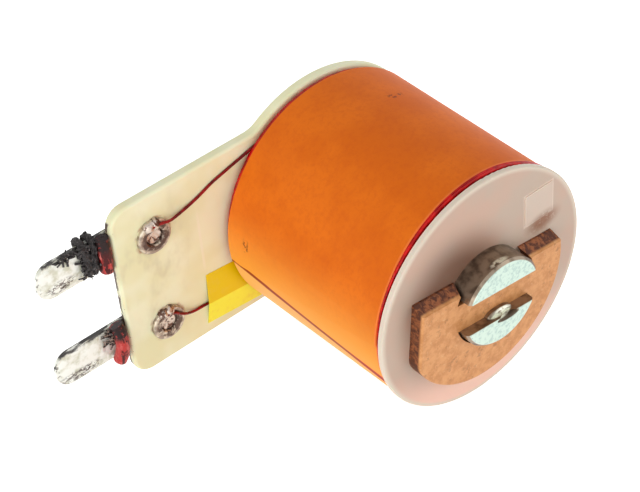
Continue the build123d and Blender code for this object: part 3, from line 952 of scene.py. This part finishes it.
def thread(bm: bmesh.types.BMesh, places: list[Vector], radius: float, sides: int = 6) -> None:
    """Adds one short round thread along a few places.

    Args:
        bm: Mesh to add to.
        places: Points along its middle, in millimetres.
        radius: Its radius in millimetres.
        sides: Corners of its section.
    """
    last = None
    for index, here in enumerate(places):
        ahead = places[min(index + 1, len(places) - 1)] - places[max(index - 1, 0)]
        turn = ahead.to_track_quat("Z", "Y").to_matrix().to_4x4()
        made = bmesh.ops.create_circle(bm, segments=sides, radius=radius * MM,
                                       matrix=Matrix.Translation(here * MM) @ turn)
        ring = list({edge for vert in made["verts"] for edge in vert.link_edges})
        if last:
            bmesh.ops.bridge_loops(bm, edges=last + ring)
        if index in (0, len(places) - 1):
            bmesh.ops.contextual_create(bm, geom=ring)
        last = ring


@dataclass
class FrayedStrands:
    """Fine strands of the lower wire, running from the insulation into the tinning."""

    count: int = 16
    radius: float = 0.09
    leave_x: float = AT.tab_end - 1.75
    centre_z: float = AT.lug_z(Side.LOWER)
    seed: int = 9

    def build(self, wardrobe: Wardrobe) -> None:
        """Makes the strands in place of the four plain ones."""
        draw = random.Random(self.seed)
        bm = bmesh.new()
        for _ in range(self.count):
            z = self.centre_z + draw.uniform(0.2, 2.9)
            start = Vector((self.leave_x + draw.uniform(-0.2, 0.2), draw.uniform(-1.0, -0.5), z))
            end = Vector((self.leave_x - draw.uniform(0.7, 1.9), -0.2, z + draw.uniform(-1.3, 1.1)))
            middle = (start + end) / 2 + Vector((0, draw.uniform(-0.35, 0.1), draw.uniform(-0.5, 0.5)))
            thread(bm, [start, (start + middle) / 2 + Vector((0, -0.06, 0)), middle, end], self.radius)
        made = put_in_scene(bm, "lower_frayed_strands", wardrobe.strand)
        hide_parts("lower_wire_strands")


@dataclass
class EyeletSolder:
    """Solder over the end of a lead, lumpy."""

    side: Side

    def build(self, wardrobe: Wardrobe) -> None:
        """Makes the solder in place of its plain beads."""
        node = f"{self.side.word}_eyelet_solder"
        bm = merged_copy(node)
        bmesh.ops.triangulate(bm, faces=bm.faces)
        long = [edge for edge in bm.edges if edge.calc_length() > 0.2 * MM]
        bmesh.ops.subdivide_edges(bm, edges=long, cuts=1)
        bmesh.ops.triangulate(bm, faces=bm.faces)
        roughen(bm, 0.7, 0.14)
        made = put_in_scene(bm, f"{self.side.word}_eyelet_bead", wardrobe.bead)
        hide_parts(node)


@dataclass
class RelayCoil:
    """The whole coil."""

    wardrobe: Wardrobe = field(default_factory=Wardrobe)

    def dress_nodes(self) -> None:
        """Finishes the CAD nodes whose shape is already right."""
        w = self.wardrobe
        finishes = {
            "bobbin": w.nylon, "pole_core": w.steel, "shading_ring": w.copper, "winding": w.enamel,
            "paper_wrapper": w.paper, "lead_tape": w.tape, "finish_lead": w.lead, "start_lead": w.lead,
            "upper_eyelet": w.upper_ring, "lower_eyelet": w.lower_ring,
            "upper_lug": w.upper_tin, "lower_lug": w.lower_tin,
            "upper_lug_solder": w.solder, "lower_lug_solder": w.solder, "upper_eyelet_solder": w.solder,
            "lower_eyelet_solder": w.solder, "upper_wire_insulation": w.upper_sleeve,
            "lower_wire_insulation": w.lower_sleeve, "upper_wire_char": w.char,
            "lower_wire_strands": w.strand}
        for node, material in finishes.items():
            dress(node, material)

    def build(self) -> None:
        """Dresses the nodes and adds the finer pieces."""
        self.dress_nodes()
        Winding().build(self.wardrobe)
        ThreadedCore().build(self.wardrobe)
        for side, seed in ((Side.UPPER, 2.0), (Side.LOWER, 7.5)):
            LugTinning(side, seed=seed).build(self.wardrobe)
            EyeletSolder(side).build(self.wardrobe)
        BurntWire().build(self.wardrobe)
        FrayedStrands().build(self.wardrobe)


# ---- studio ----
@dataclass
class Studio:
    """A white table, soft light and the camera. Lamps: name, place, side of the square, watts."""

    floor_z: float = -17.65
    floor_side: float = 3000.0
    floor_glow: float = 0.85
    azimuth: float = -40.812
    elevation: float = 38.159
    droop: float = 5.11
    shift_right: float = -0.576
    shift_up: float = 9.794
    distance: float = 249.362
    lens: float = 101.25
    sensor: float = 36.0
    clip: tuple[float, float] = (0.01, 10.0)
    horizon: float = 0.82
    horizon_end: float = 0.12
    overhead: float = 0.58
    overhead_from: float = 0.6
    table: Colour = (240, 240, 240)
    aim: Point = (-0.01, -0.018, 0)
    lamps: tuple[tuple[str, Point, float, float], ...] = (
        ("key", (-0.30, -0.60, 0.10), 0.35, 0.85),
        ("table_side", (-0.45, -0.12, 0.03), 0.3, 0.95),
        ("side", (0.45, -0.45, 0.25), 0.35, 0.5))

    def floor(self) -> None:
        """Lays a pale floor that glows white to the camera and in reflections."""
        bm = bmesh.new()
        half = self.floor_side / 2 * MM
        bmesh.ops.create_grid(bm, x_segments=1, y_segments=1, size=half,
                              matrix=Matrix.Translation((0, 0, self.floor_z * MM)))
        mesh = bpy.data.meshes.new("floor")
        bm.to_mesh(mesh)
        bm.free()
        made = bpy.data.objects.new("floor", mesh)
        bpy.context.scene.collection.objects.link(made)
        s = Surface("white_table")
        path = s.node("ShaderNodeLightPath")
        seen = s.sum("MAXIMUM", path.outputs["Is Camera Ray"], path.outputs["Is Glossy Ray"])
        s.feed(s.shader.inputs["Emission Strength"], s.both(seen, self.floor_glow))
        made.data.materials.append(s.finish(self.table, 0.9, Specular_IOR_Level=0.1,
                                            Emission_Color=(1, 1, 1, 1)))

    def camera(self) -> None:
        """Sets the camera as it stood, turned into the tab's level frame."""
        a, e, p = (math.radians(v) for v in (self.azimuth, self.elevation, self.droop))
        right = Vector((math.cos(a), math.sin(a), 0))
        back = Vector((math.sin(a) * math.cos(e), -math.cos(a) * math.cos(e), math.sin(e)))
        up = back.cross(right)
        place = right * -self.shift_right + up * -self.shift_up + back * self.distance
        level = [Vector((v.x * math.cos(p) + v.z * math.sin(p), v.y,
                         -v.x * math.sin(p) + v.z * math.cos(p))) for v in (right, up, back, place)]
        data = bpy.data.cameras.new("camera")
        data.lens, data.sensor_width, data.sensor_fit = self.lens, self.sensor, "HORIZONTAL"
        data.clip_start, data.clip_end = self.clip
        made = bpy.data.objects.new("camera", data)
        made.matrix_world = (Matrix.Translation(level[3] * MM)
                             @ Matrix([list(v) for v in level[:3]]).transposed().to_4x4())
        bpy.context.scene.collection.objects.link(made)
        bpy.context.scene.camera = made

    def lamp(self, name: str, place: Point, size: float, power: float) -> None:
        """Hangs one soft square lamp that points at the coil.

        Args:
            name: Name of the lamp.
            place: Where it hangs, in metres.
            size: Side of the square, in metres.
            power: Watts.
        """
        data = bpy.data.lights.new(name, "AREA")
        data.shape, data.size, data.energy = "SQUARE", size, power
        made = bpy.data.objects.new(name, data)
        made.location = place
        made.rotation_euler = (Vector(self.aim) - Vector(place)).to_track_quat("-Z", "Y").to_euler()
        bpy.context.scene.collection.objects.link(made)

    def world(self) -> None:
        """A room white round the horizon and dim overhead; the camera and reflections see it white."""
        made = bpy.data.worlds.new("room")
        made.use_nodes = True
        tree = made.node_tree
        add, link = tree.nodes.new, tree.links.new
        split = add("ShaderNodeSeparateXYZ")
        link(add("ShaderNodeTexCoord").outputs["Generated"], split.inputs[0])
        height = add("ShaderNodeMapRange")
        link(split.outputs["Z"], height.inputs["Value"])
        for key, value in (("From Min", self.horizon_end), ("From Max", self.overhead_from),
                           ("To Min", self.horizon), ("To Max", self.overhead)):
            height.inputs[key].default_value = value
        room, seen = add("ShaderNodeBackground"), add("ShaderNodeBackground")
        mix = add("ShaderNodeMixShader")
        link(height.outputs[0], room.inputs["Strength"])
        room.inputs["Color"].default_value = (1, 0.99, 0.975, 1)
        seen.inputs["Color"].default_value = (1, 1, 1, 1)
        path, either = add("ShaderNodeLightPath"), add("ShaderNodeMath")
        either.operation = "MAXIMUM"
        link(path.outputs["Is Camera Ray"], either.inputs[0])
        link(path.outputs["Is Glossy Ray"], either.inputs[1])
        link(either.outputs[0], mix.inputs[0])
        link(room.outputs[0], mix.inputs[1])
        link(seen.outputs[0], mix.inputs[2])
        link(mix.outputs[0], tree.nodes["World Output"].inputs[0])
        bpy.context.scene.world = made

    def build(self) -> None:
        """Sets up the whole studio."""
        self.floor()
        self.camera()
        self.world()
        for name, place, size, power in self.lamps:
            self.lamp(name, place, size, power)
        bpy.context.scene.view_settings.view_transform = "Standard"


def main() -> None:
    """Builds the coil and the studio."""
    logging.basicConfig(level=logging.INFO, format="%(name)s %(message)s")
    RelayCoil().build()
    Studio().build()


if __name__ == "__main__":
    main()
